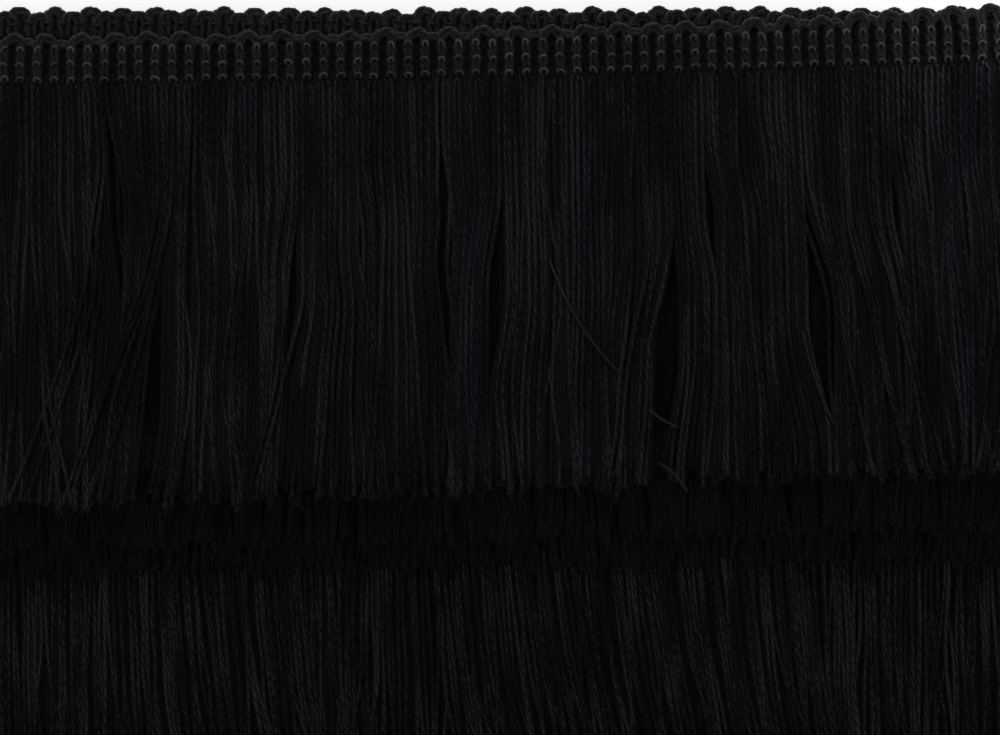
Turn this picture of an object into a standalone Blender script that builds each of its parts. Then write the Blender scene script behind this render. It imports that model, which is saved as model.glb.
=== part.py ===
"""Tassel fringe trim, folded back and forth on a flat surface.

One length of trim, about 1.3 m long. A narrow crocheted heading, with a looped top
edge, carries a cut fringe. The length lies in five passes, one above the other.
Each end of a pass turns back into the next one. The lowest pass lies further down
than the rest, so its fringe shows below theirs. The upper passes come down from it
to the surface, and the two top ones droop at their looped edge.

Frame: +Z is up from the surface. -Y is the way the fringe hangs from its heading.
X runs along the trim. The origin is on the surface, under the heading of the
second pass. All sizes here are in millimetres, and MM makes them metres.
"""
import bpy
import numpy as np

MM = 0.001

# The trim itself.
HEADING_HEIGHT = 10.8
HEADING_THICKNESS = 2.2
FRINGE_LENGTH = 88.9
FRINGE_THICKNESS = 1.8
SEAM_GAP = 0.3
LOOP_PITCH = 7.3
LOOP_DEPTH = 1.1
YARN_BLACK = (0.010, 0.010, 0.012)
YARN_ROUGHNESS = 0.55

# From the underside of one pass to the underside of the next.
LAYER_PITCH = 2.8

# The five passes, lowest first. left and right are their ends in X. The looped
# edge's height in Y is given at X = -TOP_SPAN, 0 and +TOP_SPAN.
TOP_SPAN = 108.0
PASS_COLUMNS = ("name", "left", "right", "top_left", "top_middle", "top_right")
PASS_ROWS = (
    ("lower tier", -127.0, 152.0, -39.0, -36.8, -34.5),
    ("second", -128.0, 152.0, 4.0, 5.4, 6.8),
    ("third", -128.0, 128.0, 9.4, 11.6, 13.7),
    ("fourth", -128.0, 128.0, 26.8, 26.8, 27.0),
    ("front", -128.0, 124.0, 20.6, 22.3, 25.6),
)
PASSES = [dict(zip(PASS_COLUMNS, row)) for row in PASS_ROWS]

# The turn after each pass but the last: where it is, the height of the looped edge
# there, and the length over which the two passes it joins ease to that height.
TURN_COLUMNS = ("x", "top", "ease")
TURN_ROWS = (
    (152.0, -4.0, 40.0),
    (-128.0, 6.5, 20.0),
    (128.0, 20.0, 20.0),
    (-128.0, 22.7, 20.0),
)
TURNS = [dict(zip(TURN_COLUMNS, row)) for row in TURN_ROWS]
TURN_STEPS = 4

# The upper passes climb onto the lower tier over RAMP_LENGTH, clear of its edge.
RAMP_CLEAR = 1.0
RAMP_LENGTH = 24.0
LIFT_START = 100.0
LIFT_LENGTH = 16.0

# The two top passes droop past the looped edge of the third, from just inside it.
DROOPING_FROM = 3
DROOP_MARGIN = 1.0
DROOP_SLOPE = 0.30
DROOP_EASE = 8.0

# On a slanting run the band turns with it by this share of the slant, and skews for
# the rest. The fringe leaves it at that angle, then falls straight. The slant is
# measured between two points SLANT_BASE apart.
TURN_SHARE = 0.5
FALL_EASE = 4.0
SLANT_BASE = 1.0

# Splits of the fringe into locks: where one starts, how far it has drifted sideways
# half way down and at the cut ends, and how wide it is open at those two places.
SPLIT_COLUMNS = ("x", "drift_mid", "drift_end", "open_mid", "open_end")
FRONT_SPLITS = (
    (-108.0, -1.0, -3.0, 0.6, 0.9),
    (-97.0, 0.5, 0.0, 0.6, 0.9),
    (-85.0, 1.4, -1.0, 3.2, 1.2),
    (-74.0, -0.5, -3.0, 0.9, 5.0),
    (-60.0, 0.0, 0.0, 0.6, 0.9),
    (-43.0, -1.0, -4.5, 0.9, 1.6),
    (-29.0, 0.3, 0.5, 2.0, 0.9),
    (-13.0, 0.3, 0.5, 2.8, 0.9),
    (0.5, 0.0, 0.5, 1.6, 0.9),
    (16.0, 0.3, 0.6, 0.6, 0.9),
    (35.0, 0.8, 0.4, 1.6, 3.4),
    (49.0, 1.0, 1.2, 0.6, 0.9),
    (64.0, 3.6, 6.4, 4.4, 1.6),
    (79.0, 1.8, 4.6, 0.6, 0.9),
    (94.0, 0.6, 2.0, 0.6, 0.9),
    (107.0, 0.0, 0.4, 0.6, 0.9),
)
LOWER_SPLITS = (
    (-106.0, 0.0, 0.0, 0.6, 0.9),
    (-91.0, 0.2, 0.6, 0.6, 0.9),
    (-76.0, 0.8, 3.0, 0.6, 1.6),
    (-61.0, 1.6, 8.0, 0.6, 0.9),
    (-46.0, 0.8, 3.6, 0.6, 0.9),
    (-30.0, 0.2, 1.2, 0.6, 0.9),
    (-15.0, 0.8, 4.0, 0.6, 1.2),
    (0.0, 1.6, 8.0, 0.6, 0.9),
    (15.0, 1.8, 9.0, 0.6, 0.9),
    (30.0, 1.8, 9.0, 0.6, 0.9),
    (45.0, 1.6, 8.0, 0.6, 0.9),
    (60.0, 1.0, 6.0, 0.6, 0.9),
    (76.0, 0.5, 2.4, 0.6, 0.9),
    (91.0, 0.1, 0.6, 0.6, 0.9),
    (106.0, 0.0, 0.0, 0.6, 0.9),
    (121.0, 0.0, 0.0, 0.6, 0.9),
    (136.0, 0.0, 0.0, 0.6, 0.9),
)
# The passes inside the stack have even, nearly closed splits, which sway a little.
INNER_PLACES = np.linspace(-105.0, 105.0, 8)
INNER_SWAY = 1.5
INNER_WAVE = 30.0
INNER_OPEN = 0.9

# Down the fringe, from its root: splits start at the row of points SPLIT_ROW, and the
# ramp's rows at least RAMP_STEP below it. The lowest pass has LOWER_ROWS more rows,
# evenly spaced.
DROOP_ROW = 6.0
SPLIT_START = 12.0
SPLIT_ROW = 2
SPLIT_ROOT = 0.6
RAMP_STEP = 2.0
LOWER_ROWS = 5
# The comb has no plain column within SPLIT_CLEAR of a split.
SPLIT_CLEAR = 0.9
# The cut ends are uneven by RAGGED either way, as a wave along the columns.
RAGGED = 1.3
RAGGED_STEP = 2.4


def smooth(u):
    """0 below 0, 1 above 1, and 3u^2 - 2u^3 between them."""
    u = np.clip(u, 0.0, 1.0)
    return u * u * (3.0 - 2.0 * u)


def level_top(index, x):
    """Y of a pass's looped edge before it eases to its turns: a parabola in X."""
    row = PASSES[index]
    u = x / TOP_SPAN
    slope = (row["top_right"] - row["top_left"]) / 2.0
    bend = (row["top_right"] + row["top_left"]) / 2.0 - row["top_middle"]
    return row["top_middle"] + slope * u + bend * u * u


def turns_of(index):
    """The turns at the ends of a pass: the one before it and the one after it."""
    return TURNS[max(index - 1, 0):index + 1]


def pass_top(index, x):
    """Y of a pass's looped edge, eased to the turn at each end that has one."""
    top = level_top(index, x)
    for turn in turns_of(index):
        weight = smooth(1.0 - abs(turn["x"] - x) / turn["ease"])
        top += weight * (turn["top"] - top)
    return top


def lift(x, y):
    """How far the upper passes have climbed onto the lower tier, from 0 to 1."""
    past_edge = y - level_top(0, x) - RAMP_CLEAR
    along_y = smooth(1.0 - past_edge / RAMP_LENGTH)
    along_x = smooth((x - LIFT_START) / LIFT_LENGTH)
    return 1.0 - (1.0 - along_y) * (1.0 - along_x)


def droop(x, y):
    """Fall of the two top passes past the third: a parabola, then a slope."""
    edge = pass_top(DROOPING_FROM - 1, x) - DROOP_MARGIN
    past = max(y - edge, 0.0)
    eased = min(past, DROOP_EASE)
    fall = eased * eased / (2.0 * DROOP_EASE) + (past - eased)
    held = smooth((x - LIFT_START) / LIFT_LENGTH)
    return DROOP_SLOPE * fall * (1.0 - held)


def underside(index, x, y):
    """Z of the underside of a pass over the point (x, y)."""
    if index == 0:
        return 0.0
    z = LAYER_PITCH * (index - 1 + lift(x, y))
    if index >= DROOPING_FROM:
        z -= droop(x, y)
    return z


def trim_point(index, x, turned, drop, thickness, drift=0.0):
    """Middle of the trim's thickness, `drop` below the looped edge, in metres.

    index and x say where along the trim. turned runs from 0 to 1 round the turn
    after the pass, which is a half circle in X and Z, and is 0 on the pass itself.
    """
    rise = pass_top(index, x + SLANT_BASE / 2.0) - pass_top(index, x - SLANT_BASE / 2.0)
    angle = 0.0 if turned else TURN_SHARE * np.arctan(rise / SLANT_BASE)
    square = min(drop, HEADING_HEIGHT + SEAM_GAP)
    falling = drop - square
    carried = FALL_EASE * (1.0 - np.exp(-falling / FALL_EASE))
    px = x + np.sin(angle) * (square + carried) + drift
    py = pass_top(index, x) - np.cos(angle) * (square + carried) - (falling - carried)
    pz = underside(index, px, py) + thickness / 2.0
    if turned:
        radius = LAYER_PITCH / 2.0
        px += np.sign(TURNS[index]["x"]) * radius * np.sin(np.pi * turned)
        pz += radius * (1.0 - np.cos(np.pi * turned))
    return (px * MM, py * MM, pz * MM)


def half_loops(index):
    """X of every crest and dip of a pass's looped edge, from left to right."""
    row = PASSES[index]
    count = 2 * round((row["right"] - row["left"]) / LOOP_PITCH)
    return np.linspace(row["left"], row["right"], count + 1)


def turn_stations(index):
    """(x, turned) for the points inside the turn after a pass."""
    if index == len(TURNS):
        return []
    return [(TURNS[index]["x"], step / TURN_STEPS) for step in range(1, TURN_STEPS)]


def sheet_object(name, columns, keep, thickness, material):
    """A closed sheet: a grid of points with the quads that `keep` allows, made thick."""
    rows = len(columns[0])
    points = [point for column in columns for point in column]
    faces = []
    for column in range(len(columns) - 1):
        for row in range(rows - 1):
            if keep(column, row):
                corner = column * rows + row
                faces.append((corner, corner + 1, corner + rows + 1, corner + rows))
    mesh = bpy.data.meshes.new(name)
    mesh.from_pydata(points, [], faces)
    mesh.materials.append(material)
    obj = bpy.data.objects.new(name, mesh)
    bpy.context.scene.collection.objects.link(obj)
    thicken = obj.modifiers.new("thickness", "SOLIDIFY")
    thicken.thickness = thickness * MM
    thicken.offset = 0.0
    thicken.use_even_offset = True
    return obj


def yarn_material(name):
    """Black dyed yarn: a Principled BSDF with one colour and no metal."""
    material = bpy.data.materials.new(name)
    material.use_nodes = True
    shader = material.node_tree.nodes["Principled BSDF"]
    shader.inputs["Base Color"].default_value = (*YARN_BLACK, 1.0)
    shader.inputs["Roughness"].default_value = YARN_ROUGHNESS
    shader.inputs["Metallic"].default_value = 0.0
    return material


def build_heading():
    """The crocheted heading: one folded band whose top edge dips between loops."""
    stations = []
    for index in range(len(PASSES)):
        way = -1 if index % 2 else 1
        stations += [(index, x, 0.0) for x in half_loops(index)[::way]]
        stations += [(index, x, turned) for x, turned in turn_stations(index)]
    columns = []
    for number, (index, x, turned) in enumerate(stations):
        drops = (LOOP_DEPTH * (number % 2), HEADING_HEIGHT)
        columns.append([trim_point(index, x, turned, drop, HEADING_THICKNESS) for drop in drops])
    return sheet_object("heading", columns, lambda column, row: True,
                        HEADING_THICKNESS, yarn_material("heading yarn"))


def plain_places(index):
    """X of the fringe's points that aren't at a split: where it eases or lifts.

    They are crests and dips of the heading, so that the two edges keep their gap.
    """
    places = half_loops(index)
    wanted = (places >= LIFT_START - LOOP_PITCH) & (index > 0)
    for turn in turns_of(index):
        wanted |= abs(places - turn["x"]) <= turn["ease"] + LOOP_PITCH / 2.0
    for split in split_rows(index):
        wanted &= abs(places - split["x"]) > SPLIT_CLEAR
    wanted[[0, -1]] = True
    return places[wanted]


def split_rows(index):
    """The splits of one pass, as dictionaries, from left to right."""
    if index == 0:
        rows = LOWER_SPLITS
    elif index == len(PASSES) - 1:
        rows = FRONT_SPLITS
    else:
        sway = INNER_SWAY * np.sin(INNER_PLACES / INNER_WAVE)
        rows = [(x, s / 2.0, s, INNER_OPEN, INNER_OPEN) for x, s in zip(INNER_PLACES, sway)]
    return [dict(zip(SPLIT_COLUMNS, row)) for row in rows]


def through(fraction, middle, end):
    """A parabola down the fringe: 0 at the root, `middle` half way, `end` at the ends."""
    return fraction * (4.0 * middle - end) + 2.0 * fraction ** 2 * (end - 2.0 * middle)


def fringe_lengths(index, x, cut_end):
    """Lengths down the fringe that get a row of points.

    On an upper pass, three of them mark where it climbs onto the lower tier.
    """
    fixed = [0.0, DROOP_ROW, SPLIT_START]
    if index == 0:
        return fixed + list(np.linspace(SPLIT_START, cut_end, LOWER_ROWS + 1)[1:])
    root = level_top(index, x) - HEADING_HEIGHT - SEAM_GAP
    foot = root - level_top(0, x) - RAMP_CLEAR
    start = max(foot - RAMP_LENGTH, SPLIT_START + RAMP_STEP)
    ramp = [start, (start + foot) / 2.0, foot]
    return fixed + ramp + [(foot + cut_end) / 2.0, cut_end]


def sideways(index, x, fraction, split, side):
    """Sideways drift of a point of the fringe, and half a split's width at its edge."""
    rows = split_rows(index)
    xs = [PASSES[index]["left"]] + [row["x"] for row in rows] + [PASSES[index]["right"]]
    middle = np.interp(x, xs, [0.0] + [row["drift_mid"] for row in rows] + [0.0])
    end = np.interp(x, xs, [0.0] + [row["drift_end"] for row in rows] + [0.0])
    drift = through(fraction, middle, end)
    if split:
        wide = max(through(fraction, split["open_mid"], split["open_end"]), SPLIT_ROOT)
        opened = smooth((fraction * FRINGE_LENGTH - SPLIT_START) / SPLIT_START)
        drift += side * (SPLIT_ROOT + opened * (wide - SPLIT_ROOT)) / 2.0
    return drift


def fringe_column(index, x, turned, split, side, number):
    """One column of points down the fringe. side is -1 or 1 at the edges of a split."""
    cut_end = FRINGE_LENGTH + RAGGED * np.sin(RAGGED_STEP * number)
    column = []
    for length in fringe_lengths(index, min(x, LIFT_START), cut_end):
        drift = sideways(index, x, length / FRINGE_LENGTH, split, side)
        drop = HEADING_HEIGHT + SEAM_GAP + length
        column.append(trim_point(index, x, turned, drop, FRINGE_THICKNESS, drift))
    return column


def build_fringe():
    """The cut fringe: one folded comb, joined along its root and split into locks."""
    stations = []
    for index in range(len(PASSES)):
        places = [(x, 0, None) for x in plain_places(index)]
        places += [(split["x"], side, split) for split in split_rows(index) for side in (-1, 1)]
        places.sort(key=lambda place: place[:2], reverse=bool(index % 2))
        stations += [(index, x, 0.0, split, side) for x, side, split in places]
        stations += [(index, x, turned, None, 0) for x, turned in turn_stations(index)]
    columns = [fringe_column(*station, number) for number, station in enumerate(stations)]

    def keep(column, row):
        split, next_split = stations[column][3], stations[column + 1][3]
        return row < SPLIT_ROW or split is None or split is not next_split

    return sheet_object("fringe", columns, keep, FRINGE_THICKNESS, yarn_material("fringe yarn"))


def main():
    for old in list(bpy.data.objects):
        bpy.data.objects.remove(old)
    build_heading()
    build_fringe()


main()
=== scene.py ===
# %% [markdown]
# # A fringe trim, folded back and forth
# The object is one length of black fringe trim, 1.3 m long and 100 mm tall, folded in
# five layers. Such a trim is made on a crochet machine from two kinds of yarn. Thick
# yarns run up from the cut edge, over the top as a hairpin, and down again. Thin threads
# run along the trim and chain-stitch those hairpins together near the top. That band is
# the heading. The frame's CAD solids have the folded shape. Here every yarn is made:
# first on a flat, straight trim, and then carried onto the fold by one function.

# %% Open the frame
import math

import bpy
import numpy as np
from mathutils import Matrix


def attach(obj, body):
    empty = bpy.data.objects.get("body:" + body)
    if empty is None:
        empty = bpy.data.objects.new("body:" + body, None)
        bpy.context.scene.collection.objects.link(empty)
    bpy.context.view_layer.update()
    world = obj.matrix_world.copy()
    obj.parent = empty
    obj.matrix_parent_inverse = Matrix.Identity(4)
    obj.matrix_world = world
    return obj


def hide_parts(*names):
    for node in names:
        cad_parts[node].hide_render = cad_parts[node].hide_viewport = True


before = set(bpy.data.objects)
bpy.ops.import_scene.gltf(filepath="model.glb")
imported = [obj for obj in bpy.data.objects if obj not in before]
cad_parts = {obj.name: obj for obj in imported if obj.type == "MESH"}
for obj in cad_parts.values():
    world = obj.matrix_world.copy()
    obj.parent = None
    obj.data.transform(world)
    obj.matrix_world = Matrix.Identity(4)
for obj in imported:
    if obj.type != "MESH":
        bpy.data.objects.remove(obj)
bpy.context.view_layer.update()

MM = 0.001

# %% [markdown]
# ## The fold
# These are the trim's own sizes and the five passes of the fold, in millimetres. Each
# pass runs from left to right or back again. A parabola goes through the three given
# heights of its looped edge, and at each turn the two passes it joins ease to the same
# height. With the shape in a short table, the yarns follow when the trim lies otherwise.

# %% Sizes of the trim and its passes
HEADING_HEIGHT = 10.8
HEADING_THICKNESS = 2.2
FRINGE_LENGTH = 88.9
SEAM_GAP = 0.3
LAYER_PITCH = 2.8
TOP_SPAN = 108.0
LEFT = np.array([-127.0, -128.0, -128.0, -128.0, -128.0])
RIGHT = np.array([152.0, 152.0, 128.0, 128.0, 124.0])
TOP_LEFT = np.array([-39.0, 4.0, 9.4, 26.8, 20.6])
TOP_MIDDLE = np.array([-36.8, 5.4, 11.6, 26.8, 22.3])
TOP_RIGHT = np.array([-34.5, 6.8, 13.7, 27.0, 25.6])
LOWER, SECOND, THIRD, FOURTH, FRONT = range(5)
TURN_X = np.array([152.0, -128.0, 128.0, -128.0])
TURN_TOP = np.array([-4.0, 6.5, 20.0, 22.7])
TURN_EASE = np.array([40.0, 20.0, 20.0, 20.0])
TURN_RADIUS = LAYER_PITCH / 2.0
TURN_ARC = math.pi * TURN_RADIUS
PASS_LENGTH = RIGHT - LEFT
PASS_START = np.concatenate([[0.0], np.cumsum(PASS_LENGTH[:-1] + TURN_ARC)])
TRIM_LENGTH = PASS_START[-1] + PASS_LENGTH[-1]
print("length of trim in mm:", round(TRIM_LENGTH, 1))


# %% Height of the looped edge
def smooth(u):
    """0 below 0, 1 above 1, and 3u^2 - 2u^3 between them."""
    u = np.clip(u, 0.0, 1.0)
    return u * u * (3.0 - 2.0 * u)


def level_top(index, x):
    """Y of a pass's looped edge: a parabola in x through its three given heights."""
    u = x / TOP_SPAN
    slope = (TOP_RIGHT[index] - TOP_LEFT[index]) / 2.0
    bend = (TOP_RIGHT[index] + TOP_LEFT[index]) / 2.0 - TOP_MIDDLE[index]
    return TOP_MIDDLE[index] + slope * u + bend * u * u


def pass_top(index, x):
    """The parabola, blended by a smooth step to the turn before and the turn after."""
    top = level_top(index, x)
    for turn, joined in ((index - 1, index > 0), (index, index < FRONT)):
        turn = np.clip(turn, 0, FRONT - 1)
        near = smooth(1.0 - np.abs(TURN_X[turn] - x) / TURN_EASE[turn]) * joined
        top = top + near * (TURN_TOP[turn] - top)
    return top


# %% [markdown]
# The upper passes climb from the surface onto the lowest one over a short ramp. The two
# top ones lie past the looped edge of the third, so they droop there. Both are heights
# that depend only on where a point is.

# %% Height over the surface
RAMP_CLEAR = 1.0
RAMP_LENGTH = 24.0
LIFT_START = 100.0
LIFT_LENGTH = 16.0
DROOP_MARGIN = 1.0
DROOP_SLOPE = 0.30
DROOP_EASE = 8.0


def lift(x, y):
    """How far the upper passes have climbed onto the lowest, from 0 to 1: a smooth step
    down the fringe and one towards the right, joined as 1 - (1-a)(1-b)."""
    along_y = smooth(1.0 - (y - level_top(LOWER, x) - RAMP_CLEAR) / RAMP_LENGTH)
    along_x = smooth((x - LIFT_START) / LIFT_LENGTH)
    return 1.0 - (1.0 - along_y) * (1.0 - along_x)


def droop(x, y):
    """Fall past the third pass's edge: a parabola over DROOP_EASE, then a slope."""
    past = np.maximum(y - pass_top(np.full(np.shape(x), THIRD), x) + DROOP_MARGIN, 0.0)
    eased = np.minimum(past, DROOP_EASE)
    fall = eased * eased / (2.0 * DROOP_EASE) + past - eased
    return DROOP_SLOPE * fall * (1.0 - smooth((x - LIFT_START) / LIFT_LENGTH))


def underside(index, x, y):
    """Z of the underside of a pass: its layer's height, less its droop."""
    z = LAYER_PITCH * (index - 1 + lift(x, y)) - (index >= FOURTH) * droop(x, y)
    return np.where(index == LOWER, 0.0, z)


# %% [markdown]
# ## From the flat trim to the fold
# A point of the flat trim has three coordinates: how far along the trim it is, how far
# below the looped edge, and how far it stands out to the trim's face. One function
# carries whole arrays of such points onto the fold. A turn is a half circle, so every
# second pass lies face down.

# %% Fold the flat trim
TURN_SHARE = 0.5
FALL_EASE = 4.0
SLANT_BASE = 1.0


def place_along(along):
    """Pass, X and share of the turn after it for points at a length along the trim."""
    index = np.clip(np.searchsorted(PASS_START, along, "right") - 1, LOWER, FRONT)
    run = along - PASS_START[index]
    past = np.clip((run - PASS_LENGTH[index]) / TURN_ARC, 0.0, 1.0)
    turned = np.where(index < FRONT, past, 0.0)
    step = np.where(index < FRONT, np.minimum(run, PASS_LENGTH[index]), run)
    x = np.where(index % 2 == 0, LEFT[index] + step, RIGHT[index] - step)
    return index, x, turned


def fold(along, drop, out, drift=0.0):
    """Points of the folded trim, in mm.

    The point goes `drop` down from the looped edge, square to it by TURN_SHARE of its
    slant over the heading and straight down below that, and `drift` sideways. It stands
    `out` from the middle of the thickness, up on even passes and down on odd ones, and
    goes round a half circle on a turn.
    """
    along, drop, out, drift = np.broadcast_arrays(along, drop, out, drift)
    index, x, turned = place_along(along)
    rise = pass_top(index, x + SLANT_BASE / 2.0) - pass_top(index, x - SLANT_BASE / 2.0)
    angle = np.where(turned > 0.0, 0.0, TURN_SHARE * np.arctan(rise / SLANT_BASE))
    square = np.minimum(drop, HEADING_HEIGHT + SEAM_GAP)
    carried = square + FALL_EASE * (1.0 - np.exp(-(drop - square) / FALL_EASE))
    px = x + np.sin(angle) * carried + drift
    py = pass_top(index, x) - np.cos(angle) * carried - (drop - carried)
    radius = TURN_RADIUS - np.where(index % 2 == 0, out, -out)
    middle = underside(index, px, py) + HEADING_THICKNESS / 2.0
    way = np.where(index % 2 == 0, 1.0, -1.0)
    px = px + way * radius * np.sin(math.pi * turned)
    pz = middle + TURN_RADIUS - radius * np.cos(math.pi * turned)
    return np.stack([px, py, pz], axis=-1)


print("start of the trim in mm:", fold(0.0, 0.0, 0.0).round(1).tolist())

# %% [markdown]
# ## Yarn
# A yarn here is two plies twisted round each other. Each ply could be its own tube, but
# half of it would be hidden. One tube whose outline has two lobes, and turns as it goes
# along, gives the same rope-like surface with half of the faces. Each point keeps its
# place in the untwisted yarn, so that a material can follow the fibres, and a number
# that is the yarn's own, for small differences in tone.

# %% Outlines of a yarn
# A two-lobed outline of half width 1, round from the tip of the first lobe.
TWO_PLY = np.array([(1.0, 0.0), (0.68, 0.7), (0.0, 0.62), (-0.68, 0.7),
                    (-1.0, 0.0), (-0.68, -0.7), (0.0, -0.62), (0.68, -0.7)])
# The same with fewer points, for yarns that are partly hidden.
FLAT_PLY = np.array([(1.0, 0.0), (0.45, 0.68), (-0.45, 0.68),
                     (-1.0, 0.0), (-0.45, -0.68), (0.45, -0.68)])
SLIM_PLY = np.array([(1.0, 0.0), (0.0, 0.8), (-1.0, 0.0), (0.0, -0.8)])


def round_outline(sides):
    """An even ring of points at radius 1."""
    turn = np.arange(sides) * 2.0 * math.pi / sides
    return np.stack([np.cos(turn), np.sin(turn)], axis=-1)


# %% Tubes along many lines
triangles_made = {}


def unit(vectors):
    """Each vector divided by its length."""
    return vectors / np.linalg.norm(vectors, axis=-1, keepdims=True)


def tube_points(lines, radius, turn, outline):
    """Ring points round each line.

    At each station, side = tangent x Z and over = tangent x side. The outline is
    turned by `turn`, scaled by `radius`, and laid in the plane of side and over.
    """
    tangent = unit(np.gradient(lines, axis=1))
    side = unit(np.cross(tangent, (0.0, 0.0, 1.0)))
    over = np.cross(tangent, side)
    a, b = outline[:, 0], outline[:, 1]
    c, s = np.cos(turn)[..., None], np.sin(turn)[..., None]
    across = (a * c - b * s)[..., None] * side[:, :, None, :]
    upward = (a * s + b * c)[..., None] * over[:, :, None, :]
    return lines[:, :, None, :] + radius[..., None, None] * (across + upward)


def tube_quads(tubes, stations, ring):
    """Corner numbers of the walls and the two end caps of tubes of that many rings."""
    first = np.arange(tubes)[:, None, None] * stations * ring
    low = np.arange(stations - 1)[None, :, None] * ring
    here, there = np.arange(ring), (np.arange(ring) + 1) % ring
    low = first + low
    walls = np.broadcast_arrays(low + here, low + there, low + ring + there, low + ring + here)
    strip = np.arange(ring // 2 - 1)
    cap = np.stack([strip, strip + 1, ring - 2 - strip, ring - 1 - strip], -1)
    ends = first + np.stack([cap[:, ::-1], cap + (stations - 1) * ring])[None].reshape(1, -1, 4)
    return np.concatenate([np.stack(walls, -1).reshape(-1, 4), ends.reshape(-1, 4)])


def add_object(name, data):
    """A new object in the scene."""
    made = bpy.data.objects.new(name, data)
    bpy.context.scene.collection.objects.link(made)
    return made


def add_mesh(name, points, quads, **attributes):
    """A smooth mesh object of quads, in metres, with point attributes. It is pressed flat
    where it would reach below the surface."""
    points[:, 2] = np.maximum(points[:, 2], 0.0)
    mesh = bpy.data.meshes.new(name)
    mesh.vertices.add(len(points))
    mesh.vertices.foreach_set("co", (points * MM).ravel())
    mesh.loops.add(quads.size)
    mesh.loops.foreach_set("vertex_index", quads.ravel())
    mesh.polygons.add(len(quads))
    mesh.polygons.foreach_set("loop_start", np.arange(len(quads)) * 4)
    mesh.update(calc_edges=True)
    mesh.shade_smooth()
    for key, values in attributes.items():
        kind, field = ("FLOAT_VECTOR", "vector") if values.ndim == 2 else ("FLOAT", "value")
        mesh.attributes.new(key, kind, "POINT").data.foreach_set(field, values.ravel())
    piece = add_object(name, mesh)
    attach(piece, "root")
    triangles_made[name] = 2 * len(quads)
    print(f"{name}: {2 * len(quads)} triangles")
    return piece


random = np.random.default_rng(7)
# Yarns start at different places in their pattern, up to this far along it.
FIBRE_SHIFT = 400.0


def add_yarns(name, batches):
    """One piece from batches of (lines, radius, turn, outline). Its attribute `fibre` is
    the place across and along the untwisted yarn, and `tone` the yarn's own number."""
    points, quads, fibre, tone = [], [], [], []
    count = 0
    for lines, radius, turn, outline in batches:
        tubes, stations, ring = *lines.shape[:2], len(outline)
        radius = np.broadcast_to(radius, (tubes, stations))
        turn = np.broadcast_to(turn, (tubes, stations))
        shape = (tubes, stations, ring)
        points.append(tube_points(lines, radius, turn, outline).reshape(-1, 3))
        quads.append(tube_quads(tubes, stations, ring) + count)
        steps = np.linalg.norm(np.diff(lines, axis=1, prepend=lines[:, :1]), axis=-1)
        own = random.uniform(0.0, 1.0, tubes)
        gone = steps.cumsum(axis=1) + own[:, None] * FIBRE_SHIFT
        place = np.broadcast_arrays(outline[:, 0] * radius[..., None], outline[:, 1] * radius[..., None],
                                    gone[..., None])
        fibre.append(np.stack(place, -1).reshape(-1, 3))
        tone.append(np.broadcast_to(own[:, None, None], shape).ravel())
        count += tubes * stations * ring
    return add_mesh(name, np.concatenate(points), np.concatenate(quads),
                    fibre=np.concatenate(fibre), tone=np.concatenate(tone))


# %% [markdown]
# ## The hairpins of the heading
# Each thick yarn runs up one leg, over an arch and down the next leg, and each hairpin
# is two such yarns. The face set of hairpins stands high, and the back set sits between
# its arches, a little lower. The legs of both sets meet, so every leg is four yarns. The
# chain stitches pull them together at three rows, and between the rows they spring apart.

# %% Sizes of the hairpins
LEGS = 2 * round(TRIM_LENGTH / 7.3)
LEG_PITCH = TRIM_LENGTH / LEGS
YARN_RADIUS = 0.64
YARN_LAY = 5.4
CHAIN_ROWS = (3.6, 6.85, 10.1)
ROW_PITCH = 3.25
LEG_BOTTOM = 10.5
LEG_SPREAD = 0.44
LEG_PINCH = 0.06
LEG_FULLER = 1.32
ARCH_RISE = -0.35
# How much lower the hairpins of a pass stand at the right of the stack.
RIGHT_FALL = np.array([0.0, 0.0, 0.0, 0.2, -1.5])
RIGHT_START = 40.0
RIGHT_REACH = 60.0
ARCH_STRETCH = 1.1
FACE_OUT = 0.42
BACK_OUT = -0.42
BACK_LOWER = 0.8
TWIST = -2.0 * math.pi / YARN_LAY
print("legs:", LEGS, "at", round(LEG_PITCH, 3), "mm")


# %% Lines of the hairpins
def arch_table(first_leg, order):
    """Numbers of each hairpin: centre along the trim, top, lean, twist and out."""
    legs = np.arange(first_leg, LEGS - 1, 2)
    centre = (legs + 1.0) * LEG_PITCH
    high = np.clip(random.normal(-0.1, 0.25, len(legs)), ARCH_RISE, 0.5)
    index, x, _ = place_along(centre)
    high = high + RIGHT_FALL[index] * smooth((x - RIGHT_START) / RIGHT_REACH)
    lean = random.normal(0.0, 0.4, len(legs))
    phase = random.uniform(0.0, 2.0 * math.pi, (len(legs), 2))
    return {"leg": legs, "centre": centre, "top": high + order * BACK_LOWER,
            "lean": lean, "phase": phase, "out": FACE_OUT if order == 0 else BACK_OUT}


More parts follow.
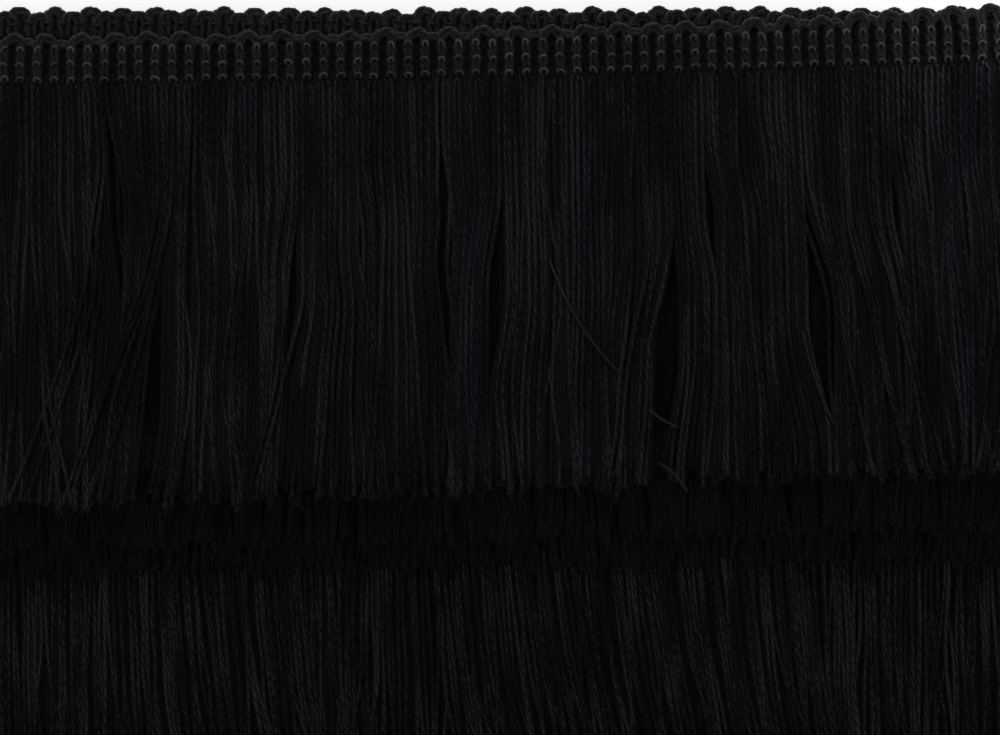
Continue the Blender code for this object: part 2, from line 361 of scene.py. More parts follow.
def arch_lines(table, yarn, stations, bottom, closer):
    """Lines of one of the two yarns of each hairpin, and the twist along them.

    From `bottom` up the first leg, over a half ellipse, and down the second, with half
    of the stations on the ellipse. The inner and the outer yarn are LEG_SPREAD nearer
    and further than the leg's middle. The legs spread by a cosine between the chain rows.
    """
    wide = LEG_PITCH / 2.0 + (LEG_SPREAD if yarn else -LEG_SPREAD - closer)
    tall = wide * ARCH_STRETCH
    top = table["top"][:, None] + YARN_RADIUS + (0.0 if yarn else 2.0 * LEG_SPREAD)
    leg = bottom - top - tall
    bow = math.pi * (wide + tall) / 2.0
    place = np.linspace(-1.0, 1.0, stations)[None, :]
    past_bow = np.maximum(np.abs(place) - 0.5, 0.0) * 2.0
    gone = np.clip(place, -0.5, 0.5) * bow + np.sign(place) * past_bow * leg
    angle = np.clip(gone / bow, -0.5, 0.5) * math.pi
    down = np.maximum(np.abs(gone) - bow / 2.0, 0.0)
    drop = top + tall - tall * np.cos(angle) + down
    held = smooth((drop - CHAIN_ROWS[0] + ROW_PITCH / 2.0) / (ROW_PITCH / 2.0))
    rows = np.cos(2.0 * math.pi * (drop - CHAIN_ROWS[0]) / ROW_PITCH)
    pulled = LEG_PINCH * rows * held
    half = wide - (pulled if yarn else -pulled)
    lean = table["lean"][:, None] * (1.0 - smooth(drop / CHAIN_ROWS[0]))
    along = table["centre"][:, None] + half * np.sin(angle) + lean
    out = table["out"] * (1.0 - 0.25 * held * (1.0 + rows) / 2.0)
    out = out + 0.25 * np.cos(angle) * (1.0 if table["out"] > 0 else -1.0) * (yarn - 0.5)
    turn = table["phase"][:, yarn][:, None] + TWIST * gone
    return fold(along, drop, out), turn


face_arches = arch_table(0, 0)
back_arches = arch_table(1, 1)


def chosen(table, keep):
    """The rows of a table where keep is true."""
    return {key: value[keep] if isinstance(value, np.ndarray) else value
            for key, value in table.items()}


# %% Make the hairpins, pass by pass
# Of each pass: stations and outline of the face set, where its legs end, stations and
# outline of the back set, and how much closer the inner yarns' legs stand.
HIDDEN_ARCH = (9, FLAT_PLY, 6.0, 9, FLAT_PLY, 0.0)
ARCH_DETAIL = {
    FRONT: (36, TWO_PLY, LEG_BOTTOM, 21, FLAT_PLY, 0.0),
    FOURTH: (17, TWO_PLY, 7.0, 17, TWO_PLY, 0.5),
    THIRD: HIDDEN_ARCH, SECOND: HIDDEN_ARCH, LOWER: HIDDEN_ARCH,
}
heading_yarns = {}
for index, detail in ARCH_DETAIL.items():
    face_count, face_outline, bottom, back_count, back_outline, closer = detail
    batches = []
    for table, count, outline in ((face_arches, face_count, face_outline),
                                  (back_arches, back_count, back_outline)):
        here = chosen(table, place_along(table["centre"])[0] == index)
        for yarn in (0, 1):
            lines, turn = arch_lines(here, yarn, count, bottom, closer)
            batches.append((lines, YARN_RADIUS * LEG_FULLER, turn, outline))
    heading_yarns[index] = add_yarns(f"heading_hairpins_{index + 1}", batches)

# %% [markdown]
# ## The chain stitches
# Three rows of a thin thread run along the heading. On the face, each stitch is a small
# eye on a leg, whose two ends dive between the yarns at the bottom. On the back, one
# strand runs from leg to leg and sinks into the hollows. The thread is about 0.6 mm
# thick, so a round tube is enough.

# %% Lines of the chain stitches
THREAD_RADIUS = 0.32
# Half widths and half heights of the eyes in the three rows.
EYE_SIZES = ((0.55, 0.75), (0.66, 0.5), (0.76, 0.6))
EYE_TURN = 0.86 * math.pi
EYE_HIGH = 1.45
THREAD_HOLLOW = 1.25
BAR_SHARE = 0.22
BAR_FALL = 0.4


def eye_lines(legs, row, size, stations):
    """Eyes on the legs: along = leg + width * sin a, drop = row - height * cos a, and
    out = high - 1.6 |t|^8, with a = EYE_TURN * t, for t from -1 to 1."""
    t = np.linspace(-1.0, 1.0, stations)[None, :]
    each = (len(legs), 1)
    wide = size[0] * random.uniform(0.85, 1.15, each)
    tall = size[1] * random.uniform(0.8, 1.2, each)
    lean = random.normal(0.0, 0.25, each)
    along = (legs[:, None] + 0.5) * LEG_PITCH + random.normal(0.0, 0.12, each)
    along = along + wide * np.sin(EYE_TURN * t)
    drop = row + random.normal(0.0, 0.12, each) - tall * np.cos(EYE_TURN * t + lean)
    out = EYE_HIGH + 0.12 * np.cos(EYE_TURN * t) - 1.6 * np.abs(t) ** 8
    return fold(along, drop, out)


def running_lines(legs, row, stations):
    """The strand on the back, from hollow to hollow: out = -high on the leg, and past
    BAR_SHARE a smooth step to the side that lies down."""
    t = np.linspace(-1.0, 1.0, stations)[None, :]
    centre = (legs[:, None] + 0.5) * LEG_PITCH
    drop = row + random.normal(0.0, 0.3, (len(legs), 1)) * (1.0 - t * t)
    hollow = np.where(leg_pass[legs] % 2 == 0, -THREAD_HOLLOW, THREAD_HOLLOW)[:, None]
    out = hollow - (EYE_HIGH + hollow) * (1.0 - smooth((np.abs(t) - BAR_SHARE) / BAR_FALL))
    return fold(centre + 0.5 * LEG_PITCH * t, drop, out)


legs_all = np.arange(LEGS)
leg_pass = place_along((legs_all + 0.5) * LEG_PITCH)[0]
# The passes whose stitches show: stations of an eye and of a running strand, and rows.
CHAIN_DETAIL = {FRONT: (12, 5, CHAIN_ROWS), FOURTH: (5, 11, CHAIN_ROWS[:1])}
chain_pieces = []
for index, (eye_stations, run_stations, stitched) in CHAIN_DETAIL.items():
    here = legs_all[leg_pass == index]
    batches = []
    for row, size in zip(stitched, EYE_SIZES):
        eyes = eye_lines(here, row, size, eye_stations)
        batches.append((eyes, THREAD_RADIUS, 0.0, round_outline(6)))
        strand = running_lines(here, row, run_stations)
        batches.append((strand, THREAD_RADIUS, 0.0, round_outline(4)))
    chain_pieces.append(add_yarns(f"heading_chain_{index + 1}", batches))

# %% [markdown]
# Between the two sets of hairpins the threads cross so closely that they make a thin
# ground. It is one sheet, as long as the trim and folded with it. Between the legs it
# sags to the side that lies down, so that the hollows are deep and dark.

# %% The ground of the heading
GROUND_TOP = 1.4
GROUND_BOTTOM = HEADING_HEIGHT + 1.2
GROUND_SAG = 0.75
GROUND_THICKNESS = 0.3
ground_along = np.linspace(0.25, TRIM_LENGTH / LEG_PITCH - 0.25, 4 * LEGS) * LEG_PITCH
ground_drop = np.linspace(GROUND_TOP, GROUND_BOTTOM, 8)
hollow = 0.5 + 0.5 * np.cos(2.0 * math.pi * ground_along / LEG_PITCH)
facing = np.where(place_along(ground_along)[0] % 2 == 0, 1.0, -1.0)
sag = (-GROUND_SAG * facing * hollow)[:, None]
ground_points = fold(ground_along[:, None], ground_drop[None, :], sag)
columns, rows = ground_points.shape[:2]
corners = (np.arange(columns - 1)[:, None] * rows + np.arange(rows - 1)[None, :]).ravel()
ground_quads = np.stack([corners, corners + 1, corners + rows + 1, corners + rows], -1)
ground_fibre = np.broadcast_arrays(ground_drop[None, :] * 0.35, 0.0, ground_along[:, None])
ground = add_mesh("heading_ground", ground_points.reshape(-1, 3), ground_quads,
                  fibre=np.stack(ground_fibre, -1).reshape(-1, 3), tone=np.full(columns * rows, 0.4))
thicken = ground.modifiers.new("thickness", "SOLIDIFY")
thicken.thickness = GROUND_THICKNESS * MM
thicken.offset = 0.0

# %% Threads of the ground
# Threads that show as faint bars across the hollows of the front pass.
GROUND_ROWS = (2.7, 4.4, 5.0, 5.9, 7.7, 8.4, 9.2)
seen = place_along(ground_along)[0] == FRONT
RUNG_RADIUS = 0.16
rung_drop = np.array(GROUND_ROWS)[:, None] + random.normal(0.0, 0.16, (len(GROUND_ROWS), seen.sum()))
rung_out = 0.25 - GROUND_SAG * hollow[seen]
rung_lines = fold(ground_along[seen][None, :], rung_drop, rung_out[None, :])
ground_rungs = add_yarns("heading_ground_threads", [(rung_lines, RUNG_RADIUS, 0.0, round_outline(4))])

# %% [markdown]
# ## The strands of the fringe
# Below the heading, the yarns hang free. Of each leg's four, two hang in front and one
# behind, and plain round ones fill the inside. They soon lie evenly. Further down they
# gather in loose clumps that lean one way or the other, a few cross over their
# neighbours, and here and there the fringe parts. Every strand's sideways drift is a sum
# of these effects, each of which grows down the fringe.

# %% Where the fringe parts
SPLIT_COLUMNS = ("x", "drift_mid", "drift_end", "widest", "reach", "gap", "end_gap")
FRONT_SPLITS = np.array([
    (-108, -1, -3, 0.5, 0.2, 0, 0),
    (-97, 0.5, 0, 0.5, 0.2, 0, 0),
    (-85.5, 1.5, -1.5, 0.3, 0.28, 3, 0),
    (-73, -0.5, -1.5, 0.8, 0.36, -4.8, 1),
    (-60, 0, 0, 0.5, 0.2, 0, 0),
    (-44, 0, -2.5, 0.5, 0.25, -2.4, 0.9),
    (-31, 0, -0.5, 0.38, 0.2, 2.4, 0),
    (-13, 0, -1, 0.42, 0.3, 3, 0),
    (0.5, 0, 0.5, 0.52, 0.28, -3.6, 0),
    (17, 0.3, 0.6, 0.5, 0.2, 0, 2),
    (35.5, 0.8, 0.4, 0.68, 0.32, -4.6, 2),
    (43, 0.6, 0.8, 0.34, 0.2, 2.6, 0),
    (54, 1, 1.6, 0.22, 0.14, 1.6, 0),
    (63.8, 0.8, 1.8, 0.6, 0.36, 6.8, 0.6),
    (83, 1.2, 3.6, 0.35, 0.2, 2.2, 0),
    (100, 0.4, 1.6, 0.4, 0.2, 1.8, 0),
    (107, 0, 0.4, 0.5, 0.2, 0, 0),
])
# The lowest pass only drifts and opens a little at its ends.
LOWER_DRIFTS = (
    (-106, 0, 0, 0),
    (-91, 0.2, 0.6, 0),
    (-76, 0.8, 3, 1),
    (-61, 1.6, 8, 0),
    (-46, 0.8, 3.6, 0),
    (-30, 0.2, 1.2, 0),
    (-15, 0.8, 4, 0.4),
    (0, 1.6, 8, 0),
    (15, 1.8, 9, 0),
    (30, 1.8, 9, 0),
    (45, 1.6, 8, 0),
    (60, 1, 6, 0),
    (76, 0.5, 2.4, 0),
    (91, 0.1, 0.6, 0),
)
LOWER_SPLITS = np.array([(x, middle, end, 0.5, 0.2, 0.0, end_gap)
                         for x, middle, end, end_gap in LOWER_DRIFTS])
NO_SPLITS = np.array([(0.0, 0.0, 0.0, 0.5, 0.2, 0.0, 0.0)])
SPLITS = {LOWER: LOWER_SPLITS, SECOND: NO_SPLITS, THIRD: NO_SPLITS, FOURTH: NO_SPLITS, FRONT: FRONT_SPLITS}
PARTING_REACH = 8.0
CALM_REACH = 5.0
WIDE_GAP = 0.8


def parabola(share, middle, end):
    """0 at share 0, `middle` at a half, and `end` at 1."""
    return share * (4.0 * middle - end) + 2.0 * share ** 2 * (end - 2.0 * middle)


def parted(index, x, share):
    """Sideways drift from the table of splits: the drift of the splits to each side,
    blended along x, and a push by each split that fades over PARTING_REACH. The strands
    on one side lean away first, the right one if the gap is above 0, until `widest`. The
    others follow below that, and close the gap. The end gap pushes both sides apart."""
    rows = SPLITS[index]
    places = np.concatenate([[LEFT[index]], rows[:, 0], [RIGHT[index]]])
    middle, end = (np.interp(x, places, np.pad(rows[:, column], 1)) for column in (1, 2))
    drift = parabola(share, middle[:, None], end[:, None])
    for row in rows:
        split = dict(zip(SPLIT_COLUMNS, row))
        away = (x - split["x"])[:, None]
        step = (share - split["widest"]) / split["reach"]
        first = away * split["gap"] > 0.0
        push = split["gap"] * smooth(np.where(first, step + 1.0, step))
        push = push + 0.5 * np.sign(away) * split["end_gap"] * share ** 4
        drift = drift + push * np.exp(-np.abs(away) / PARTING_REACH)
    return drift


def calm(index, x):
    """1 away from the wider splits and nearly 0 at them, so that no clump crosses one."""
    still = np.ones_like(x)
    for row in SPLITS[index]:
        split = dict(zip(SPLIT_COLUMNS, row))
        if max(abs(split["gap"]), split["end_gap"]) > WIDE_GAP:
            still = still * (1.0 - 0.85 * np.exp(-((x - split["x"]) / CALM_REACH) ** 2))
    return still


# %% [markdown]
# Each strand's own numbers are drawn for the whole trim from a seeded generator, so that
# the same trim is made every time.

# %% Numbers of each strand
RAGGED = 1.1
LONGER = np.array([1.5, 0.0, 0.0, 0.0, 0.0])
SLANTED_CUT = -0.018
# How much the strands of each pass follow their clump.
LOOSE = np.array([0.35, 0.6, 0.6, 0.6, 1.0])
CLUMP_WIDTHS = (2.5, 9.0)
clump_edges = np.cumsum(random.uniform(*CLUMP_WIDTHS, int(TRIM_LENGTH / CLUMP_WIDTHS[0])))
clump_count = len(clump_edges) + 1
clump_lean = random.normal(0.0, 2.3, clump_count)
clump_start = random.uniform(0.0, 0.35, clump_count)
clump_tip = random.normal(0.0, 1.6, clump_count)
clump_draw = random.uniform(0.04, 0.22, clump_count)
clump_wave = random.normal(0.0, 0.9, clump_count)
clump_pace = random.uniform(0.6, 1.8, clump_count)
clump_shift = random.uniform(0.0, 2.0 * math.pi, clump_count)
clump_ends = np.concatenate([[0.0], clump_edges, [TRIM_LENGTH]])
clump_middle = (clump_ends[:-1] + clump_ends[1:]) / 2.0
CROSSING_COLUMNS = ("x", "strands", "reach", "start")
# Strands of the front pass that lean right across their neighbours, how far sideways
# they end, and the share of the fringe's length where the lean starts.
CROSSINGS = (
    (-99, 2, 6, 0.35),
    (-87, 2, -17, 0.2),
    (-76.5, 2, -6.5, 0.55),
    (-73, 4, -14.5, 0.27),
    (-44, 2, -6.7, 0.5),
    (29.6, 3, -5, 0.48),
    (65.5, 1, 7.5, 0.6),
    (78, 4, 10, 0.38),
    (106, 3, -5, 0.6),
)


def hairpin_strands(table, places):
    """Roots of the strands of each hairpin, one to a leg for each of `places`, how far
    each moves sideways below its root to that place, and the twist that it starts with."""
    grids = np.meshgrid(np.arange(len(places)), [-1.0, 1.0], indexing="ij")
    yarn, side = (grid.ravel() for grid in grids)
    half = LEG_PITCH / 2.0 + np.where(yarn == 1, LEG_SPREAD, -LEG_SPREAD)
    even = LEG_PITCH / 2.0 + np.array(places)[yarn]
    root = table["centre"][:, None] + side * half
    spread = np.broadcast_to(side * (even - half), root.shape)
    return root.ravel(), spread.ravel(), (side * table["phase"][:, yarn]).ravel()


def strand_table(root, spread, phase, level, shift=0.0):
    """Own numbers of each strand. Neighbours share a clump, and with it a lean. With its
    clumps shifted, one set of strands crosses another."""
    count = len(root)
    place = np.mod(root + shift, TRIM_LENGTH)
    clump = np.searchsorted(clump_edges, place)
    index, x, _ = place_along(root)
    facing = np.where(index % 2 == 0, 1.0, -1.0)
    still = np.select([index == row for row in SPLITS], [calm(row, x) for row in SPLITS])
    lengthened = LONGER[index] + SLANTED_CUT * x * (index == FRONT)
    return {
        "root": root, "spread": spread + random.normal(0.0, 0.18, count), "phase": phase,
        "index": index, "x": x, "way": facing, "parts": np.ones(count),
        "gather": (clump_middle[clump] - place) * facing * clump_draw[clump] * LOOSE[index],
        "lean": still * (clump_lean[clump] * LOOSE[index] + random.normal(0.0, 0.7, count)),
        "lean_start": clump_start[clump],
        "tip": clump_tip[clump] * LOOSE[index] + random.normal(0.0, 1.0, count),
        "wave": still * (clump_wave[clump] * LOOSE[index] + random.normal(0.0, 0.45, count)),
        "pace": clump_pace[clump] + random.uniform(-0.15, 0.15, count),
        "lay": random.uniform(0.88, 1.12, count),
        "shift": clump_shift[clump] + random.normal(0.0, 0.8, count),
        "reach": (random.uniform(size=count) < 0.04) * random.normal(0.0, 3.0, count),
        "start": random.uniform(0.1, 0.6, count),
        "out": level + random.normal(0.0, 0.2, count),
        "cut": FRINGE_LENGTH + lengthened + random.normal(0.0, RAGGED, count),
        "sway": random.normal(0.0, 0.1, count),
        "sway_pace": random.uniform(2.5, 5.5, count),
    }


# %% Strands of the two sets of hairpins, and plain ones between them
# Three strands lie evenly on each leg's width: two from the face, and one from the back.
STRAND_PITCH = LEG_PITCH / 3.0
face_strands = strand_table(*hairpin_strands(face_arches, (0.0, STRAND_PITCH)), 0.15)
for row in CROSSINGS:
    crossing = dict(zip(CROSSING_COLUMNS, row))
    far = np.abs(face_strands["x"] - crossing["x"]) + 1000.0 * (face_strands["index"] != FRONT)
    nearest = np.argsort(far)[:crossing["strands"]]
    face_strands["reach"][nearest] = crossing["reach"] * random.uniform(0.85, 1.1, len(nearest))
    face_strands["start"][nearest] = crossing["start"]
BACK_SHIFT = 333.0
back_strands = strand_table(*hairpin_strands(back_arches, (STRAND_PITCH,)), -0.1, BACK_SHIFT)
back_strands["lean"] *= 0.6
INNER_PITCH = 0.85
INNER_RADIUS = 0.62
inner_root = np.arange(INNER_PITCH, TRIM_LENGTH, INNER_PITCH)
nothing = np.zeros_like(inner_root)
inner_strands = strand_table(inner_root, nothing, nothing, 0.0)
below = 0.65 - np.abs(random.normal(0.0, 0.2, len(inner_root)))
below = below + 0.25 * (inner_strands["index"] == LOWER)
inner_strands["out"] = -below * inner_strands["way"]
inner_strands["cut"] -= 0.8
# Nearly half of the lowest pass shows, and more strands fill it there.
FILLING_PITCH = 2.1
FILLING_SHIFT = 777.0
filling_root = np.arange(FILLING_PITCH, PASS_LENGTH[LOWER], FILLING_PITCH)
nothing = np.zeros_like(filling_root)
filling_strands = strand_table(filling_root, nothing, 2.7 * filling_root, -0.1, FILLING_SHIFT)
for strands in (face_strands, back_strands, inner_strands, filling_strands):
    print("strands:", len(strands["root"]))


# %% Lines of the strands
SPREAD_LENGTH = 1.5
STRAND_START = -0.8
TIP_SAG = 0.35
TIP_LENGTH = 7.0
TOUSLED_LENGTH = 22.0
# How far the ends of each pass are blown to the right, at the middle of that stretch.
TIP_LEAN = np.array([0.0, 2.2, 2.2, 0.6, 0.0])
BLOWN_START = -40.0
BLOWN_LENGTH = 120.0


def strand_lines(strands, start, stop, stations):
    """Lines of strands between two lengths down the fringe, and the twist along them.

    Sideways drift = spread + split drift + lean * leaning^1.3 + gather * share^1.5 +
    a slow wave + a small quick wave + reach * past^1.3. The share is the length over the
    fringe's own, and leaning and past are what has gone of it from their own starts.
    """
    step = np.linspace(0.0, 1.0, stations)[None, :]
    length = start[:, None] + (stop - start)[:, None] * step
    share = np.clip(length / FRINGE_LENGTH, 0.0, 1.1)
    column = {key: value[:, None] for key, value in strands.items()}
    leaning = np.clip((share - column["lean_start"]) / (1.0 - column["lean_start"]), 0.0, 1.1)
    drift = column["lean"] * leaning ** 1.3 + column["gather"] * share ** 1.5
    phase = 2.0 * math.pi * column["pace"] * share + column["shift"]
    drift = drift + column["wave"] * smooth(share * 3.0) * np.sin(phase)
    quick = 2.0 * math.pi * column["sway_pace"] * share + 2.0 * column["shift"]
    drift = drift + column["sway"] * smooth(share * 4.0) * np.sin(quick)
    past = np.clip((share - column["start"]) / (1.0 - column["start"]), 0.0, 1.1)
    drift = drift + column["reach"] * past ** 1.3
    drift = drift + column["way"] * column["spread"] * smooth((length - STRAND_START) / SPREAD_LENGTH)
    for index in np.unique(strands["index"]):
        here = strands["index"] == index
        drift[here] += parted(index, strands["x"][here], share[here]) * column["parts"][here]
    tousled = smooth(1.0 - (column["cut"] - length) / TOUSLED_LENGTH)
    along_blown = np.clip((column["x"] - BLOWN_START) / BLOWN_LENGTH, 0.0, 1.0)
    blown = TIP_LEAN[column["index"]] * np.sin(math.pi * along_blown) ** 2
    drift = drift + tousled * (np.where(column["index"] == FRONT, 0.5, 1.0) * column["tip"] + blown)
    tip = smooth(1.0 - (column["cut"] - length) / TIP_LENGTH)
    lies = column["out"] + 0.16 * np.sin(5.0 * share + column["shift"])
    over = column["way"] * (np.abs(column["reach"]) > 0.0) * 1.1 * smooth(past * 6.0)
    out = lies + over - column["way"] * TIP_SAG * tip
    turn = column["phase"] + column["lay"] * TWIST * length
    return fold(column["root"], HEADING_HEIGHT + SEAM_GAP + length, out, drift), turn


# %% [markdown]
# Only strands that show get the twisted surface: the whole front pass, the lower end of
# the others, and all of them at the sides of the stack. What is buried in the stack or
# lies inside a pass is a plain round yarn.

# %% Batches of strands
def in_pass(strands, index, keep=True):
    """The strands of one pass, or those of them where keep is true."""
    return chosen(strands, (strands["index"] == index) & keep)


SIDE_REACH = 7.0
TAIL_REACH = 4.0
STRAND_RADIUS = 0.62


def end_radius(start, stop, stations):
    """Yarn radius along a strand: a little wider over its last 3 mm, which fray."""
    length = start[:, None] + (stop - start)[:, None] * np.linspace(0.0, 1.0, stations)[None, :]
    return STRAND_RADIUS * (1.0 + 0.18 * smooth(1.0 - (stop[:, None] - length) / 3.0))


def strand_batch(strands, start, stop, spacing, outline, plied=True):
    """A batch of strands for add_yarns, if there are any, with a station each `spacing`.
    Plied ones turn as they go and rest on the surface."""
    if len(strands["root"]) == 0:
        return []
    start = np.broadcast_to(start, strands["cut"].shape)
    stations = max(int(round(float(np.mean(stop - start)) / spacing)) + 1, 3)
    lines, turn = strand_lines(strands, start, stop, stations)
    if plied:
        lines[..., 2] = np.maximum(lines[..., 2], STRAND_RADIUS)
    return [(lines, end_radius(start, stop, stations), turn * plied, outline)]


def beside(strands):
    """True for strands at the sides of the stack, or on the tail that leaves it."""
    x, index = strands["x"], strands["index"]
    at_side = (x < LEFT[index] + SIDE_REACH) | (x > RIGHT[index] - SIDE_REACH)
    return at_side | ((index <= SECOND) & (x > RIGHT[THIRD] - TAIL_REACH))


# %% Strands of the front pass
fringe_pieces = []
for name, left in (("fringe_front_left", True), ("fringe_front_right", False)):
    here = in_pass(face_strands, FRONT, (face_strands["x"] < 0.0) == left)
    batches = strand_batch(here, STRAND_START, here["cut"], 0.98, FLAT_PLY)
    fringe_pieces.append(add_yarns(name, batches))
here = in_pass(back_strands, FRONT)
batches = strand_batch(here, STRAND_START, here["cut"], 1.0, FLAT_PLY)
fringe_pieces.append(add_yarns("fringe_front_back", batches))

# %% Strands of the other passes
# How much of each pass shows below the one above it.
SHOWN_END = {LOWER: 46.0, SECOND: 12.0, THIRD: 14.0, FOURTH: 8.0}
END_NAMES = {LOWER: "lower", SECOND: "second", THIRD: "third", FOURTH: "fourth"}
buried_outline = round_outline(4) * 1.5
buried = []
for index, shown in SHOWN_END.items():
    batches = []
    for strands, upper in ((face_strands, index % 2 == 0), (back_strands, index % 2 == 1)):
        inside = in_pass(strands, index, ~beside(strands))
        outside = in_pass(strands, index, beside(strands))
        spacing, outline = (1.0, FLAT_PLY) if upper and index < FOURTH else (1.2, SLIM_PLY)
        split = inside["cut"] - shown
        batches += strand_batch(inside, split, inside["cut"], spacing, outline)
        batches += strand_batch(outside, 0.0, outside["cut"], 1.5, SLIM_PLY)
        buried += strand_batch(inside, 0.0, split + 0.5, 25.0, buried_outline, plied=False)
    if index == LOWER:
        here = chosen(filling_strands, ~beside(filling_strands))
        batches += strand_batch(here, here["cut"] - shown, here["cut"], 1.0, FLAT_PLY)
    fringe_pieces.append(add_yarns(f"fringe_{END_NAMES[index]}", batches))

# %% Inner strands
# They hang loose where the middle passes end, and straight elsewhere.
inner_outline = round_outline(4) * INNER_RADIUS / STRAND_RADIUS
row = inner_strands["index"]
loose = (row > LOWER) & (row < FRONT) & ~beside(inner_strands)
for effect in ("wave", "gather", "lean", "reach", "tip", "sway"):
    inner_strands[effect] *= loose
for effect in ("parts", "spread"):
    inner_strands[effect] *= loose | (row == FRONT)


def plain_batch(strands, start, spacing):
    """Strands from `start` to their ends, as plain round yarns."""
    return strand_batch(strands, start, strands["cut"], spacing, inner_outline, plied=False)


buried += plain_batch(chosen(inner_strands, (row < FRONT) & ~loose), STRAND_START, 11.0)
# The slanted end of the lowest pass spreads its strands, so more of them lie there.
here = in_pass(inner_strands, LOWER, inner_strands["x"] > TOP_SPAN)
here["root"] = here["root"] + INNER_PITCH / 2.0
buried += plain_batch(here, STRAND_START, 11.0)
fringe_pieces.append(add_yarns("fringe_buried", buried))
between = plain_batch(in_pass(inner_strands, FRONT), STRAND_START - 1.5, 4.5)
here = chosen(inner_strands, loose)
between += plain_batch(here, here["cut"] - SHOWN_END[THIRD], 2.5)
fringe_pieces.append(add_yarns("fringe_under", between))

# %% [markdown]
# ## Frayed ends
# A cut yarn frays: its fibres come loose over the last few millimetres and stand out.
# A few thin tapered hairs at each end are enough to soften the cut edge.

# %% Hairs at the cut ends
HAIR_RADIUS = 0.085
HAIR_STATIONS = 3
HAIR_ROOT = 1.6
HAIR_CLEAR = 0.12


def hair_batch(strands, hairs):
    """Tapered hairs that leave each strand's end and bend outwards by a square law."""
    count = len(strands["root"])
    if count == 0:
        return []
    line, _ = strand_lines(strands, strands["cut"] - HAIR_ROOT, strands["cut"], 2)
    base, ahead = line[:, 0], unit(line[:, 1] - line[:, 0])
    t = np.linspace(0.0, 1.0, HAIR_STATIONS)[None, None, :, None]
    long = random.uniform(1.8, 4.0, (count, hairs, 1, 1))
    away = random.normal(0.0, 1.0, (count, hairs, 1, 3)) * np.array([0.45, 0.15, 0.35])
    from_side = random.normal(0.0, 0.3, (count, hairs, 1, 3)) * np.array([1.0, 0.2, 1.0])
    lines = base[:, None, None] + from_side + long * (t * ahead[:, None, None] + t * t * away)
    lines[..., 2] = np.maximum(lines[..., 2], HAIR_CLEAR)
    lines = lines.reshape(-1, HAIR_STATIONS, 3)
    taper = HAIR_RADIUS * (1.0 - 0.75 * np.linspace(0.0, 1.0, HAIR_STATIONS))[None, :]
    return [(lines, taper, 0.0, round_outline(4))]


hair_batches = []
HAIRS = {FRONT: 4, THIRD: 3, SECOND: 3, FOURTH: 1, LOWER: 1}
for strands in (face_strands, back_strands):
    for index, hairs in HAIRS.items():
        hair_batches += hair_batch(in_pass(strands, index), hairs)
fringe_pieces.append(add_yarns("fringe_frayed_ends", hair_batches))

# %% [markdown]
# A few single plies have come loose and lie across the front. Each is a shallow arc
# between two given points.

# %% Loose plies
# Where each starts and ends, in x and y, and how far its middle bows sideways.
STRAYS = np.array([
    (10.6, -28.0, 26.2, -53.0, 1.8),
    (32.0, -60.2, 38.4, -64.2, 0.5),
    (34.4, -72.0, 40.2, -78.0, -0.6),
    (65.2, -43.6, 71.9, -63.4, 0.8),
])
STRAY_RADIUS = 0.3
STRAY_STATIONS = 15
STRAY_CLEAR = 1.9
t = np.linspace(0.0, 1.0, STRAY_STATIONS)[None, :]
x0, y0, x1, y1, bow = (column[:, None] for column in STRAYS.T)
across = np.stack([y1 - y0, x0 - x1]) / np.hypot(x1 - x0, y1 - y0)
stray_x = x0 + (x1 - x0) * t + across[0] * bow * 4.0 * t * (1.0 - t)
stray_y = y0 + (y1 - y0) * t + across[1] * bow * 4.0 * t * (1.0 - t)
stray_z = underside(FRONT, stray_x, stray_y) + HEADING_THICKNESS / 2.0
stray_z = stray_z + STRAY_CLEAR * np.minimum(1.0, 5.0 * np.minimum(t + 0.1, 1.1 - t))
stray_lines = np.stack([stray_x, stray_y, stray_z], -1)
stray_batch = (stray_lines, STRAY_RADIUS, 0.0, round_outline(6))
fringe_pieces.append(add_yarns("fringe_loose_plies", [stray_batch]))
print("triangles in all:", sum(triangles_made.values()))


# %% [markdown]
# ## Black yarn
# The yarn is a twisted satin yarn, dyed black through. It still shows its shape, because
# each ply has a soft gloss along its fibres. Its colour is a very dark grey with a trace
# of blue, a little different from yarn to yarn. The fibres lie at slightly different
# angles, so fine streaks run along each ply. The seam between the plies is painted
# darker, as shade in the crease.

# %% Colours and nodes
def linear(hex_colour):
    """A colour for a node: each sRGB channel c becomes ((c + 0.055) / 1.055) ^ 2.4."""
    channels = [int(hex_colour[i:i + 2], 16) / 255.0 for i in (1, 3, 5)]
    return [c / 12.92 if c <= 0.04045 else ((c + 0.055) / 1.055) ** 2.4 for c in channels] + [1.0]


def add_node(tree, kind, sockets=(), **settings):
    """Adds a node with its settings, and sets or links its sockets by name or number."""
    made = tree.nodes.new(kind)
    for name, value in settings.items():
        setattr(made, name, value)
    for name, value in dict(sockets).items():
        if isinstance(value, bpy.types.NodeSocket):
            tree.links.new(value, made.inputs[name])
        else:
            made.inputs[name].default_value = value
    return made


